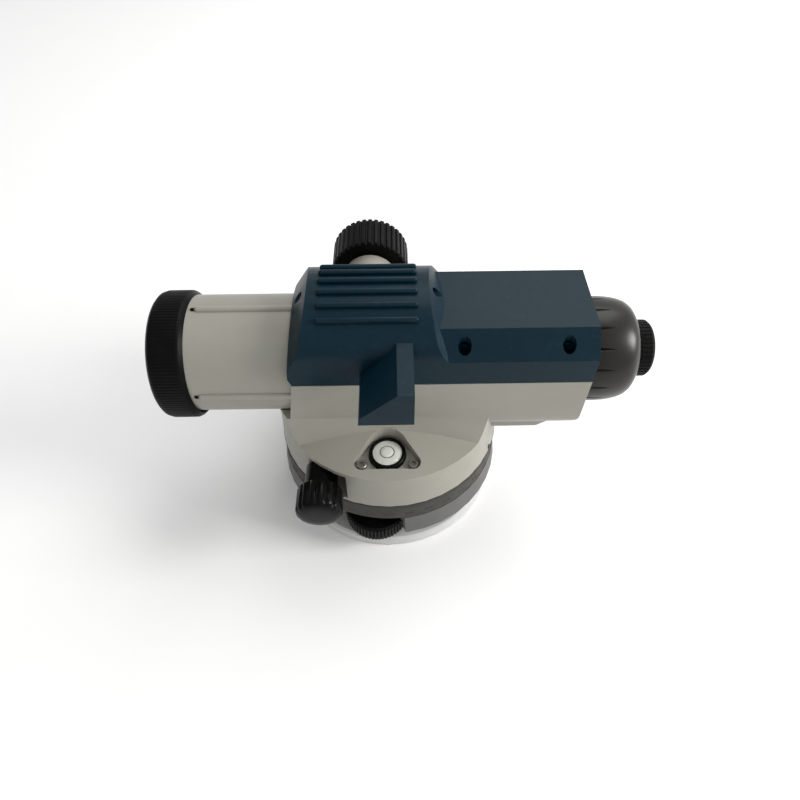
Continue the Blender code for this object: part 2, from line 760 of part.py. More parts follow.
def make_compensator():
    frame = block("compensator_frame", (42, -19.5, 65.4), (62, 19.5, 105), ALUMINIUM)
    cut(frame, block("frame_window", (30, -16.5, 75), (70, 16.5, 101)))
    cut(frame, rod("damper_bore", 6.5, 67.5, 80, at=(52, 0, 0), steps=18))
    front = [(43.0, 75.3), (47.0, 75.3), (47.0, 92.0), (43.0, 96.0)]
    rear = [(57.0, 75.3), (61.0, 75.3), (61.0, 96.0), (57.0, 92.0)]
    slab("fixed_prism_front", front, -9, 9, GLASS, "Y")
    slab("fixed_prism_rear", rear, -9, 9, GLASS, "Y")
    carrier = block("pendulum_carrier", (49.5, -12.5, 76.5), (54.5, 12.5, 95.5), BRASS)
    cut(carrier, block("carrier_window", (40, -10.3, 78.8), (60, 10.3, 93.2)))
    block("pendulum_prism", (49.8, -10.0, 79.1), (54.2, 10.0, 92.9), GLASS)
    turned(
        "damper_piston",
        [(0, 76.2), (2.0, 76.2), (2.0, 72.0), (5.5, 72.0), (5.5, 69.0), (0, 69.0)],
        ALUMINIUM,
        at=(52, 0, 0),
        steps=14,
    )
    for side, y in {"near": -9.0, "far": 9.0}.items():
        block(f"suspension_ribbon_{side}", (51.6, y - 1.2, 95.8), (52.4, y + 1.2, 100.7), STEEL)


# ------------------------------------------------------------------ eyepiece


def make_eyepiece():
    on_axis(tube, "eyepiece_tube", 9.1, 11.7, 76, 109.2, BLACK_ANODISED, steps=20)
    outside = [(22.8, 85.1), (23.4, 90.0), (23.0, 96.0), (21.6, 101.0), (19.0, 105.2), (15.6, 108.4)]
    inside = [(13.6, 106.6), (17.6, 103.0), (20.4, 97.5), (20.9, 85.1)]
    profile = outside[::-1] + inside[::-1] + [(12.1, 106.6), (12.1, 109.3)]
    on_axis(turned, "eyepiece_cap", profile, BLACK_PLASTIC, steps=28)
    ring = [(9.4, 116.2), (11.5, 116.2), (12.7, 115.0), (12.7, 109.8), (9.4, 109.8)]
    on_axis(turned, "eyepiece_ring", ring, BLACK_PLASTIC, steps=24)
    on_axis(tube, "eyepiece_barrel", 7.2, 9.0, 82, 114.4, BLACK_ANODISED, steps=20)
    lens("eye_lens", 7.0, 109.0, 110.8, 0.6, 1.4, steps=18)
    on_axis(rod, "reticle", 8.7, 78.0, 79.5, GLASS, steps=18)


# ------------------------------------------------------------- tangent drive


def make_tangent_drive():
    at = (TANGENT_X, 0, TANGENT_HEIGHT)
    shaft = [(0, 61.0), (2.5, 61.0), (2.5, 9.0), (3.0, 8.4), (3.0, -8.4), (2.5, -9.0), (2.5, -61.0)]
    turned("tangent_shaft", shaft + [(0, -61.0)], STEEL, "Y", at, 20)
    radius = TANGENT_KNOB_RADIUS
    collar, collar_end = TANGENT_COLLAR
    half = [
        (0, TANGENT_KNOB_OUTER),
        (6.6, TANGENT_KNOB_OUTER - 0.2),
        (8.8, TANGENT_KNOB_OUTER - 1.0),
        (radius, TANGENT_KNOB_OUTER - 2.9),
        (radius, TANGENT_KNOB_INNER + 0.6),
        (radius - 0.6, TANGENT_KNOB_INNER),
        (collar, TANGENT_KNOB_INNER),
        (collar, collar_end),
        (2.8, collar_end),
        (2.8, 61.3),
        (0, 61.3),
    ]
    turned("tangent_knob_far", half, BLACK_PLASTIC, "Y", at, 24)
    near = [(r, -h) for r, h in reversed(half)]
    turned("tangent_knob_near", near, BLACK_PLASTIC, "Y", at, 24)

    outline = []
    for k in range(WHEEL_TEETH):
        middle = 360 * k / WHEEL_TEETH
        root = WHEEL_RADIUS - 1.0
        for radius, degrees in ((root, -3.2), (WHEEL_RADIUS, -1.4), (WHEEL_RADIUS, 1.4), (root, 3.2)):
            outline.append(on_circle(radius, middle + degrees))
    wheel = slab("worm_wheel", outline, 47.0, 52.0, BRASS)
    cut(wheel, rod("wheel_bore", 12.3, 40, 60, steps=28))


make_base()
for foot_name, foot_degrees in FOOT_DEGREES.items():
    make_foot(foot_name, foot_degrees)
make_tribrach()
make_vertical_axis()
make_housing()
make_cover()
make_mirror_hood()
make_level()
make_objective()
make_focusing()
make_compensator()
make_eyepiece()
make_tangent_drive()
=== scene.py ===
"""An automatic level: a surveyor's telescope on a drum, above a graduated ring and a three-screw base.

Sizes are millimetres unless a name says otherwise. The vertical axis is Z, the telescope looks along -X
and the circular level is on the -Y side.
"""

import json
import math

import bpy
from mathutils import Matrix, Vector


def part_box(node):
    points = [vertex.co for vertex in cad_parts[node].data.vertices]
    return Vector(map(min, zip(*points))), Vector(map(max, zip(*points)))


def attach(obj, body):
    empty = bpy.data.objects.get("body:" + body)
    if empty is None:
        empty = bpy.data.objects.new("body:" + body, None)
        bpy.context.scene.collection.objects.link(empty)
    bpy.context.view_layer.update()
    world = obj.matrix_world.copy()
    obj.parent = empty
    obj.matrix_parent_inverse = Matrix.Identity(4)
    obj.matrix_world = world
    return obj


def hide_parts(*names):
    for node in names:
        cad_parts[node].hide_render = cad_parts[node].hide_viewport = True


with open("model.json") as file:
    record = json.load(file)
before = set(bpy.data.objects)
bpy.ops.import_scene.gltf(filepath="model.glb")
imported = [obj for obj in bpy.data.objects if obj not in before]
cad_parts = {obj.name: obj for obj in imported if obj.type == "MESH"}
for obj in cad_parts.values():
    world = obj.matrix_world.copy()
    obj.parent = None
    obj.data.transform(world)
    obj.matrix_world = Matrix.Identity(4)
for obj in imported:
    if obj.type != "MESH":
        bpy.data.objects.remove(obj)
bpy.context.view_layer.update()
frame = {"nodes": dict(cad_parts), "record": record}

# ---- Hidden metalwork: spindle, sleeve, worm drive, focusing slide, compensator and small screws.
# Turned and milled parts that keep their plain CAD shapes. Steel, brass and aluminium carry fine tool
# marks, and the parts beside the light path are anodised matt black.

MM = 0.001


class Wire:
    """One output in a material's node tree. Arithmetic on it adds Math nodes."""

    def __init__(self, tree, socket=None):
        self.tree = tree
        self.socket = socket

    def plug(self, socket, value):
        if isinstance(value, Wire):
            self.tree.links.new(value.socket, socket)
        else:
            socket.default_value = value

    def node(self, kind, settings=None, values=None, output=0):
        """Adds a node, sets it up, then fills its sockets."""
        made = self.tree.nodes.new("ShaderNode" + kind)
        for key, value in (settings or {}).items():
            if key == "stops":
                ramp = made.color_ramp.elements
                while len(ramp) < len(value):
                    ramp.new(0.5)
                for element, (place, colour) in zip(ramp, value):
                    element.position = place
                    element.color = colour
            else:
                setattr(made, key, value)
        for key, value in (values or {}).items():
            self.plug(made.inputs[key], value)
        return Wire(self.tree, made.outputs[output])

    def maths(self, operation, *terms):
        return self.node("Math", {"operation": operation}, dict(enumerate(terms)))

    def __add__(self, other):
        return self.maths("ADD", self, other)

    def __radd__(self, other):
        return self.maths("ADD", other, self)

    def __sub__(self, other):
        return self.maths("SUBTRACT", self, other)

    def __mul__(self, other):
        return self.maths("MULTIPLY", self, other)

    def place(self):
        """Where the point is on the piece, in metres."""
        return self.node("TexCoord", output="Object")

    def noise(self, size, detail=3.0, stretch=(1, 1, 1)):
        """Cloudy noise whose blotches are about this many millimetres across, drawn out by stretch."""
        scale = tuple(1 / factor for factor in stretch)
        where = self.node("Mapping", None, {"Vector": self.place(), "Scale": scale})
        settings = {"Vector": where, "Scale": 1 / (size * MM), "Detail": detail, "Roughness": 0.55}
        return self.node("TexNoise", None, settings)

    def between(self, low, high):
        """This value read from low to high as 0 to 1."""
        settings = {"clamp": True}
        ends = {"Value": self, "From Min": low, "From Max": high}
        return self.node("MapRange", settings, ends)

    def blend(self, first, second):
        """Two colours mixed by this value."""
        settings = {"data_type": "RGBA"}
        return self.node("Mix", settings, {0: self, 6: first, 7: second}, output=2)

    def bump(self, depth, strength=1.0):
        """This value as relief, this many millimetres deep."""
        return self.node("Bump", None, {"Height": self, "Distance": depth * MM, "Strength": strength})


def finish(name, recipe):
    """A material whose Principled sockets take what the recipe returns."""
    made = bpy.data.materials.new(name)
    made.use_nodes = True
    start = Wire(made.node_tree)
    shader = made.node_tree.nodes["Principled BSDF"]
    for socket, value in recipe(start).items():
        start.plug(shader.inputs[socket], value)
    return made


def metal(light, dark, roughness, stretch):
    """Bare machined metal: bright and dull streaks along the tool's path."""

    def recipe(start):
        streaks = start.noise(0.6, 4.0, stretch)
        stain = start.noise(9.0, 3.0).between(0.35, 0.7)
        return {
            "Base Color": (streaks * 0.5 + stain * 0.5).blend((*light, 1), (*dark, 1)),
            "Roughness": streaks * 0.25 + roughness,
            "Metallic": 1.0,
            "Normal": streaks.bump(0.02, 0.4),
        }

    return recipe


def anodised(start):
    specks = start.noise(0.25, 2.0)
    return {
        "Base Color": specks.blend((0.012, 0.012, 0.013, 1), (0.03, 0.03, 0.032, 1)),
        "Roughness": specks * 0.2 + 0.42,
        "Metallic": 0.4,
        "Normal": specks.bump(0.015, 0.5),
    }


STEEL = finish("turned_steel", metal((0.62, 0.61, 0.59), (0.38, 0.37, 0.36), 0.22, (1, 1, 14)))
BRASS = finish("turned_brass", metal((0.78, 0.58, 0.28), (0.5, 0.34, 0.15), 0.25, (14, 1, 1)))
ALUMINIUM = finish("machined_aluminium", metal((0.76, 0.76, 0.77), (0.55, 0.55, 0.56), 0.3, (12, 12, 1)))
ANODISED = finish("black_anodising", anodised)

bare = {"steel": STEEL, "brass": BRASS, "aluminium": ALUMINIUM, "black_anodised": ANODISED}
for entry in frame["record"]["subparts"]:
    if entry["material_slot"] in bare:
        frame["nodes"][entry["node"]].material_slots[0].material = bare[entry["material_slot"]]

# ---- Reticle, focusing lens and the compensator's prisms.
# Ground optical glass with a thin coating, cemented in their mounts and seen only through other glass.


def optical(start):
    haze = start.noise(4.0, 2.0)
    return {
        "Base Color": haze.blend((0.86, 0.95, 0.92, 1), (0.93, 0.95, 0.98, 1)),
        "Roughness": haze * 0.03 + 0.01,
        "Transmission Weight": 1.0,
        "IOR": 1.52,
    }


GLASS = finish("coated_glass", optical)
for node in ("reticle", "focusing_lens", "fixed_prism_front", "fixed_prism_rear", "pendulum_prism"):
    frame["nodes"][node].material_slots[0].material = GLASS

# ---- Base plate: the cast disc that screws onto the tripod.
# Pale painted aluminium with a turned rim, three ball sockets under the spring plate and the tripod bore.


def only(piece):
    """Leaves this piece as the one selected and active object."""
    bpy.ops.object.select_all(action="DESELECT")
    piece.select_set(True)
    bpy.context.view_layer.objects.active = piece


def smooth(piece, degrees=32.0):
    only(piece)
    bpy.ops.object.shade_smooth_by_angle(angle=math.radians(degrees))


def ease(piece, width, segments=2, degrees=35.0):
    """Breaks a piece's edges with a small round."""
    only(piece)
    edge = piece.modifiers.new("eased_edges", "BEVEL")
    edge.width = width * MM
    edge.segments = segments
    edge.limit_method = "ANGLE"
    edge.angle_limit = math.radians(degrees)
    bpy.ops.object.modifier_apply(modifier=edge.name)
    smooth(piece)
    flats = piece.modifiers.new("flat_faces_shade_flat", "WEIGHTED_NORMAL")
    flats.keep_sharp = True
    bpy.ops.object.modifier_apply(modifier=flats.name)
    return piece


def eased_copy(node, name, width, segments=2):
    """The node's own shape with its edges rounded."""
    piece = bpy.data.objects.new(name, frame["nodes"][node].data.copy())
    bpy.context.scene.collection.objects.link(piece)
    only(piece)
    bpy.ops.object.mode_set(mode="EDIT")
    bpy.ops.mesh.select_all(action="SELECT")
    bpy.ops.mesh.remove_doubles(threshold=0.000002)
    bpy.ops.mesh.dissolve_limited(angle_limit=math.radians(0.6))
    bpy.ops.object.mode_set(mode="OBJECT")
    return ease(piece, width, segments)


def fit(piece, surface, body, slot, *nodes):
    """Gives a piece its finish, fixes it to its body and hides the nodes it stands for; the slot is not
    used.
    """
    piece.data.materials.clear()
    piece.data.materials.append(surface)
    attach(piece, body)
    if nodes:
        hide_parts(*nodes)
    return piece


def paint(light, dark, roughness=0.42, grain=0.03):
    """Powder coat: an even colour with faint clouds, a fine orange peel and duller patches."""

    def recipe(start):
        clouds = start.noise(24.0, 4.0).between(0.3, 0.7)
        peel = start.noise(0.7, 2.0)
        dust = start.noise(0.12, 1.0).between(0.62, 0.75)
        return {
            "Base Color": (clouds * 0.7 + dust * 0.3).blend((*light, 1), (*dark, 1)),
            "Roughness": start.noise(6.0, 3.0) * 0.14 + (roughness - 0.05),
            "Specular IOR Level": 0.3,
            "Normal": peel.bump(grain, 0.5),
        }

    return recipe


PALE_PAINT = finish("pale_paint", paint((0.56, 0.56, 0.55), (0.50, 0.50, 0.485), 0.38))
base_plate = eased_copy("base_plate", "base_plate_casting", 0.35)
fit(base_plate, PALE_PAINT, "base", "pale_paint", "base_plate")

# ---- Foot screws: three knobs that raise and tilt the head.
# Moulded black plastic on steel stems, with fine upright ridges round the rim and a shallow dish on top.


def turned(name, rings, sides=96, hollow=False):
    """A piece turned about Z: a ring of (radius, height) extruded and resized to each of the others."""
    radius, height = rings[0]
    bpy.ops.object.select_all(action="DESELECT")
    bpy.ops.mesh.primitive_circle_add(vertices=sides, radius=radius * MM, location=(0, 0, height * MM))
    bpy.ops.object.transform_apply(location=True, rotation=False, scale=False)
    piece = bpy.context.object
    piece.name = name
    bpy.ops.object.mode_set(mode="EDIT")
    bpy.ops.mesh.select_all(action="SELECT")
    for (radius, height), (new_radius, new_height) in zip(rings, rings[1:]):
        rise = (0, 0, (new_height - height) * MM)
        bpy.ops.mesh.extrude_region_move(TRANSFORM_OT_translate={"value": rise})
        grow = new_radius / radius
        centre = (0, 0, new_height * MM)
        bpy.ops.transform.resize(value=(grow, grow, 1), center_override=centre)
    bpy.ops.mesh.select_all(action="DESELECT")
    bpy.ops.mesh.select_non_manifold()
    if hollow:
        bpy.ops.mesh.bridge_edge_loops()
    else:
        bpy.ops.mesh.select_all(action="SELECT")
        bpy.ops.mesh.fill_holes(sides=0)
    bpy.ops.mesh.select_all(action="SELECT")
    bpy.ops.mesh.normals_make_consistent(inside=False)
    bpy.ops.object.mode_set(mode="OBJECT")
    return piece


def pick(piece, wanted):
    """Selects the vertices whose place, in millimetres, passes the test, and opens edit mode."""
    only(piece)
    bpy.ops.object.mode_set(mode="EDIT")
    bpy.ops.mesh.select_mode(type="VERT")
    bpy.ops.mesh.select_all(action="DESELECT")
    bpy.ops.object.mode_set(mode="OBJECT")
    for vertex in piece.data.vertices:
        vertex.select = bool(wanted(vertex.co / MM))
    bpy.ops.object.mode_set(mode="EDIT")


def flute(piece, sides, count, picks, depth, low, high, inner):
    """Sinks upright grooves between two heights, by moving some of each flute's sides inwards."""
    each = sides // count

    def wanted(point):
        if not low <= point.z <= high or math.hypot(point.x, point.y) < inner:
            return False
        side = round(math.atan2(point.y, point.x) / (2 * math.pi) * sides)
        return side % each in picks

    pick(piece, wanted)
    shrink = 1 - depth / inner
    bpy.ops.transform.resize(value=(shrink, shrink, 1), center_override=(0, 0, 0))
    bpy.ops.object.mode_set(mode="OBJECT")


TURNS = {"X": (0, math.pi / 2, 0), "Y": (-math.pi / 2, 0, 0), "Z": (0, 0, 0)}


def stand(piece, axis, middle):
    """Lays a piece turned about Z along its axis, through the middle of its node."""
    only(piece)
    piece.rotation_euler = TURNS[axis]
    along = "XYZ".index(axis)
    piece.location = [0 if k == along else middle[k] * MM for k in range(3)]
    bpy.ops.object.transform_apply(location=True, rotation=True, scale=True)
    return piece


def extent(node, axis="Z"):
    """A round node's middle, its two ends along its axis and its radius."""
    low, high = (Vector(corner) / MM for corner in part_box(node))
    along = "XYZ".index(axis)
    across = (along + 1) % 3
    return (low + high) / 2, low[along], high[along], (high[across] - low[across]) / 2


def plastic(colour, worn, roughness, grain=0.02, size=0.35, shine=0.09):
    """Moulded plastic: spark-eroded grain, with rubbed patches that are paler and shinier."""

    def recipe(start):
        rubbed = start.noise(5.0, 4.0).between(0.5, 0.72)
        texture = start.noise(size, 2.0)
        return {
            "Base Color": (rubbed * 0.6 + texture * 0.25).blend((*colour, 1), (*worn, 1)),
            "Roughness": roughness + texture * 0.12 - rubbed * 0.06,
            "Specular IOR Level": shine,
            "Normal": texture.bump(grain, 0.6),
        }

    return recipe


BLACK = finish("black_plastic", plastic((0.0015, 0.0015, 0.0015), (0.005, 0.005, 0.0045), 0.34))
for foot in ("front", "left", "right"):
    middle, low, high, radius = extent(f"foot_knob_{foot}")
    ridges = 56
    sides = ridges * 6
    rings = [(3.7, high - 0.8), (9.5, high - 0.8), (10.3, high), (radius - 1.2, high), (radius, high - 1.1)]
    rings += [(radius, low + 1.6), (radius - 1.0, low), (3.7, low)]
    knob = turned(f"foot_knob_{foot}_moulding", rings, sides, hollow=True)
    flute(knob, sides, ridges, (0, 1), 0.75, low + 1.0, high - 0.5, radius - 0.4)
    ease(knob, 0.12, 1)
    stand(knob, "Z", middle)
    fit(knob, BLACK, f"foot_{foot}", "black_plastic", f"foot_knob_{foot}")

# ---- Tribrach: the ring that the foot screws carry.
# Die-cast and painted, cut away round each knob so that a finger reaches it; its dark mid grey is partly
# its paint and partly painted shade, the tone it has in the shade under the ring.

# Colour: the tribrach's paint darkened with painted shade from under the ring.
SHADED_MID_GREY = finish("mid_grey_paint", paint((0.115, 0.115, 0.11), (0.09, 0.09, 0.085), 0.48))
tribrach = eased_copy("tribrach", "tribrach_casting", 0.3)
fit(tribrach, SHADED_MID_GREY, "head", "mid_grey_paint", "tribrach")

# ---- Graduated circle: the ring that reads horizontal angles.
# Dark grey moulding that turns under light finger pressure, with a mark for each degree and a number
# for each ten.


def ring_plastic(start):
    texture = start.noise(0.3, 2.0)
    soil = start.noise(7.0, 4.0).between(0.4, 0.75)
    clean, worn = (0.044, 0.042, 0.037, 1), (0.064, 0.060, 0.053, 1)
    return {
        "Base Color": (soil * 0.6 + texture * 0.4).blend(clean, worn),
        "Roughness": texture * 0.15 + 0.48,
        "Specular IOR Level": 0.15,
        "Normal": texture.bump(0.02, 0.5),
    }


def printed(colour):
    """Pad-printed ink, a little patchy."""

    def recipe(start):
        thin = start.noise(0.4, 2.0).between(0.45, 0.7)
        paler = tuple(0.75 * c for c in colour)
        return {"Base Color": thin.blend((*colour, 1), (*paler, 1)), "Roughness": thin * 0.1 + 0.5}

    return recipe


RING = finish("ring_grey_plastic", ring_plastic)
BLACK_INK = finish("black_ink", printed((0.006, 0.006, 0.006)))

middle, low, high, radius = extent("horizontal_circle")
outer = radius - 0.15
rings = [(outer - 2.4, high), (outer - 0.3, high), (outer, high - 0.3)]
rings += [(outer, low + 0.3), (outer - 0.3, low)]
rings += [(40.6, low), (40.6, 31.3), (outer - 2.4, 31.3)]
circle = turned("graduated_ring", rings, 180, hollow=True)
smooth(circle)
fit(circle, RING, "circle", "ring_grey", "horizontal_circle")


def marks(name, count, height, top, width):
    """Upright printed lines, evenly spaced round the ring."""
    bpy.ops.object.select_all(action="DESELECT")
    size = (0.12 * MM, width * MM, height * MM)
    bpy.ops.mesh.primitive_cube_add(size=1, scale=size, location=(outer * MM, 0, (top - height / 2) * MM))
    bpy.ops.object.transform_apply(location=True, rotation=False, scale=True)
    piece = bpy.context.object
    piece.name = name
    bpy.ops.object.mode_set(mode="EDIT")
    bpy.ops.mesh.select_all(action="SELECT")
    turn = 2 * math.pi * (count - 1) / count
    bpy.ops.mesh.spin(steps=count - 1, dupli=True, angle=turn, center=(0, 0, 0), axis=(0, 0, 1))
    bpy.ops.object.mode_set(mode="OBJECT")
    return piece


degree_marks = marks("degree_marks", 360, 2.0, high - 0.5, 0.32)
five_marks = marks("five_degree_marks", 72, 3.0, high - 0.5, 0.42)
ten_marks = marks("ten_degree_marks", 36, 3.9, high - 0.5, 0.55)
for piece in (degree_marks, five_marks, ten_marks):
    fit(piece, BLACK_INK, "circle", "ring_grey")

numbers = []
for ten in range(36):
    bpy.ops.object.select_all(action="DESELECT")
    bpy.ops.object.text_add()
    number = bpy.context.object
    number.data.body = str(ten * 10)
    number.data.size = 3.0 * MM
    number.data.extrude = 0.05 * MM
    number.data.resolution_u = 2
    number.data.align_x = "CENTER"
    bpy.ops.object.convert(target="MESH")
    turn = Matrix.Rotation(math.radians(10 * ten), 4, "Z")
    out = Matrix.Translation((outer * MM, 0, (low + 2.9) * MM))
    upright = Matrix.Rotation(math.pi / 2, 4, "Z") @ Matrix.Rotation(math.pi / 2, 4, "X")
    number.matrix_world = turn @ out @ upright
    numbers.append(number)
bpy.ops.object.select_all(action="DESELECT")
for number in numbers:
    number.select_set(True)
bpy.context.view_layer.objects.active = numbers[0]
bpy.ops.object.join()
bpy.ops.object.transform_apply(location=True, rotation=True, scale=True)
ring_numbers = bpy.context.object
ring_numbers.name = "ring_numbers"
fit(ring_numbers, BLACK_INK, "circle", "ring_grey")

# ---- Main body: the drum and the telescope's lower shell, one die casting.
# Warm light-grey powder coat over aluminium, with rounded edges and a pocket for the circular level.

GREY_PAINT = finish("warm_grey_paint", paint((0.30, 0.294, 0.254), (0.265, 0.257, 0.221), 0.36))
body = eased_copy("main_body", "body_casting", 0.6, 3)
fit(body, GREY_PAINT, "alidade", "grey_paint", "main_body")

# ---- Index mark: the small black pointer on the drum that reads the ring.
# A printed triangle just above the ring's edge.

bpy.ops.object.select_all(action="DESELECT")
bpy.ops.mesh.primitive_cylinder_add(vertices=3, radius=1.3 * MM, depth=0.5 * MM)
index = bpy.context.object
index.name = "index_mark"
index.rotation_euler = (0, math.pi / 2, 0)
bpy.ops.object.transform_apply(rotation=True)
index.scale = (1, 1, 1.5)
bpy.ops.object.transform_apply(scale=True)
MARK_RADIUS, MARK_HEIGHT, MARK_DEGREES = 53.28, 43.0, -26
index.location = (MARK_RADIUS * MM, 0, MARK_HEIGHT * MM)
bpy.ops.object.transform_apply(location=True)
index.rotation_euler = (0, 0, math.radians(MARK_DEGREES))
bpy.ops.object.transform_apply(rotation=True)
ease(index, 0.1, 1)
fit(index, BLACK_INK, "alidade", "grey_paint")

# ---- Circular level: the bubble that shows when the base is level.
# A glass vial of pale spirit in a black ring, with a fine black circle printed under the glass.


def spirit(start):
    depth = start.noise(5.0, 2.0)
    return {
        "Base Color": depth.blend((0.66, 0.67, 0.62, 1), (0.58, 0.60, 0.54, 1)),
        "Roughness": depth * 0.05 + 0.05,
        "Coat Weight": 1.0,
        "Coat Roughness": 0.02,
    }


def gleam(start):
    depth = start.noise(2.0, 2.0)
    return {
        "Base Color": depth.blend((0.64, 0.65, 0.60, 1), (0.69, 0.70, 0.66, 1)),
        "Roughness": depth * 0.1 + 0.1,
        "Coat Weight": 1.0,
    }


SPIRIT = finish("pale_spirit", spirit)
BUBBLE = finish("bubble_gleam", gleam)
middle, low, high, radius = extent("level_holder")
rings = [(6.9, 56.2), (6.75, high - 0.2), (6.9, high)]
rings += [(radius - 0.5, high), (radius, high - 0.5), (radius, low)]
holder = turned("level_holder_ring", rings, 72)
ease(holder, 0.12, 1)
fit(stand(holder, "Z", middle), BLACK, "alidade", "black_plastic", "level_holder")
middle, low, high, radius = extent("level_vial")
dome = []
for angle in (0.03, 0.25, 0.5, 0.75, 1.0):
    dome.append((radius * math.sin(angle), high - 1.1 * (1 - math.cos(angle))))
rings = dome + [(radius, high - 0.75), (radius, low)]
vial = turned("level_vial_glass", rings, 72)
smooth(vial, 60)
fit(stand(vial, "Z", middle), SPIRIT, "alidade", "glass", "level_vial")
level_top = high


def thin_ring(name, radius, height, thick):
    """A fine printed circle."""
    bpy.ops.object.select_all(action="DESELECT")
    bpy.ops.mesh.primitive_torus_add(
        major_radius=radius * MM,
        minor_radius=thick * MM,
        major_segments=72,
        minor_segments=6,
        location=(0, 0, height * MM),
    )
    bpy.ops.object.transform_apply(location=True, rotation=False, scale=False)
    piece = bpy.context.object
    piece.name = name
    bpy.ops.object.shade_smooth()
    return piece


target = thin_ring("level_circle", 3.1, level_top - 0.08, 0.14)
fit(stand(target, "Z", middle), BLACK_INK, "alidade", "glass")
rings = [(2.5, level_top - 0.12), (2.3, level_top + 0.02), (1.7, level_top + 0.1), (0.8, level_top + 0.14)]
bubble = turned("level_bubble", rings + [(0.05, level_top + 0.15)], 48)
smooth(bubble, 60)
fit(stand(bubble, "Z", middle), BUBBLE, "alidade", "glass")


def socket_screw(name, node, key_radius):
    """A cap screw in its node's place: a head with a six-sided socket, on its shank."""
    middle, low, high, radius = extent(node)
    shank = 1.2
    under = high - 1.4
    rings = [(radius, high - 0.25), (radius, under), (shank, under), (shank, low)]
    screw = turned(name, [(radius - 0.25, high)] + rings, 48)
    bpy.ops.object.select_all(action="DESELECT")
    bpy.ops.mesh.primitive_cylinder_add(
        vertices=6, radius=key_radius * MM, depth=2 * MM, location=(0, 0, high * MM)
    )
    key = bpy.context.object
    only(screw)
    socket = screw.modifiers.new("socket", "BOOLEAN")
    socket.object = key
    bpy.ops.object.modifier_apply(modifier=socket.name)
    bpy.data.objects.remove(key, do_unlink=True)
    smooth(screw)
    return stand(screw, "Z", middle)


DARK_STEEL = finish("darkened_steel", metal((0.34, 0.33, 0.31), (0.22, 0.215, 0.20), 0.3, (1, 1, 1)))
for number in (1, 2):
    node = f"level_screw_{number}"
    fit(socket_screw(f"{node}_cap", node, 1.25), DARK_STEEL, "alidade", "steel", node)

# ---- Cover: the blue upper shell with its ribbed saddle.
# Moulded in dark petrol-blue plastic with a fine grain, screwed down through four deep holes.


def blue_plastic(start):
    texture = start.noise(0.4, 2.0)
    clouds = start.noise(30.0, 3.0).between(0.3, 0.7)
    rubbed = start.noise(4.0, 4.0).between(0.55, 0.75)
    body_colour = clouds.blend((0.001, 0.012, 0.022, 1), (0.0015, 0.016, 0.026, 1))
    return {
        "Base Color": (rubbed * 0.35).blend(body_colour, (0.006, 0.032, 0.046, 1)),
        "Roughness": texture * 0.14 + 0.3,
        "Specular IOR Level": 0.14,
        "Normal": texture.bump(0.02, 0.6),
    }


BLUE = finish("petrol_blue_plastic", blue_plastic)
cover = eased_copy("top_cover", "cover_moulding", 0.45, 3)
fit(cover, BLUE, "alidade", "blue_plastic", "top_cover")


def round_bar(name, radius, start, end, at, turn):
    """A bar along X with domed ends, let into the surface at a point round the telescope's axis."""
    bpy.ops.object.select_all(action="DESELECT")
    bpy.ops.mesh.primitive_uv_sphere_add(segments=32, ring_count=16, radius=radius * MM)
    piece = bpy.context.object
    piece.name = name
    pick(piece, lambda point: point.x > 0.001)
    bpy.ops.transform.translate(value=((end - start) * MM, 0, 0))
    bpy.ops.object.mode_set(mode="OBJECT")
    angle = math.radians(turn)
    piece.location = (start * MM, at * math.sin(angle) * MM, (axis_height + at * math.cos(angle)) * MM)
    bpy.ops.object.transform_apply(location=True, rotation=True, scale=True)
    smooth(piece, 60)
    return piece


axis_height = extent("telescope_tube", "X")[0].z
SADDLE_RADIUS = 37.5
RIB_DEGREES = 10.2
for k in range(6):
    rib = round_bar(f"saddle_rib_{k + 1}", 1.3, -26.6, 11.7, SADDLE_RADIUS, (k - 2.5) * RIB_DEGREES)
    fit(rib, BLUE, "alidade", "blue_plastic")
for number in (1, 2, 3, 4):
    node = f"cover_screw_{number}"
    fit(socket_screw(f"{node}_cap", node, 1.35), DARK_STEEL, "alidade", "steel", node)

# ---- Mirror hood: the small roof beside the saddle with a mirror over the circular level.
# The same blue plastic, open below and towards the observer, who sees the bubble in the mirror.


def silvered(start):
    haze = start.noise(3.0, 3.0).between(0.5, 0.8)
    return {
        "Base Color": haze.blend((0.9, 0.91, 0.92, 1), (0.8, 0.81, 0.82, 1)),
        "Metallic": 1.0,
        "Roughness": haze * 0.05 + 0.01,
    }


SILVER = finish("silvered_glass", silvered)
hood = eased_copy("mirror_hood", "mirror_hood_moulding", 0.3, 2)
fit(hood, BLUE, "alidade", "blue_plastic", "mirror_hood")
frame["nodes"]["bubble_mirror"].material_slots[0].material = SILVER

# ---- Telescope tube: the painted barrel in front of the saddle.
# Drawn aluminium with three half-round ribs; the small black dot at each rib's front end behind the hood is
# painted shade for the rib's end in shadow.

middle, low, high, radius = extent("telescope_tube", "X")
bore = 23.2
tube_radius = 25.7
rings = [(bore, low), (tube_radius - 0.3, low), (tube_radius, low + 0.3), (tube_radius, high), (bore, high)]
tube = turned("telescope_tube_barrel", rings, 128, hollow=True)
smooth(tube)
fit(stand(tube, "X", (0, 0, axis_height)), GREY_PAINT, "alidade", "grey_paint", "telescope_tube")
for k, degrees in enumerate((-90, 0, 90)):
    rib = round_bar(f"tube_rib_{k + 1}", 1.5, -78.3, -38.5, tube_radius, degrees)
    fit(rib, GREY_PAINT, "alidade", "grey_paint")
    # Painted shade: a small black dome in front of each rib's end, standing for the shadow there.
    rib_end_shade_dot = round_bar(f"tube_rib_painted_shade_{k + 1}", 0.85, -80.6, -79.9, tube_radius, degrees)
    fit(rib_end_shade_dot, BLACK, "alidade", "black_plastic")

# ---- Objective hood: the ribbed grip round the front lens.
# Matt black moulding pressed over the tube, with fine ribs along it and a bevelled front.

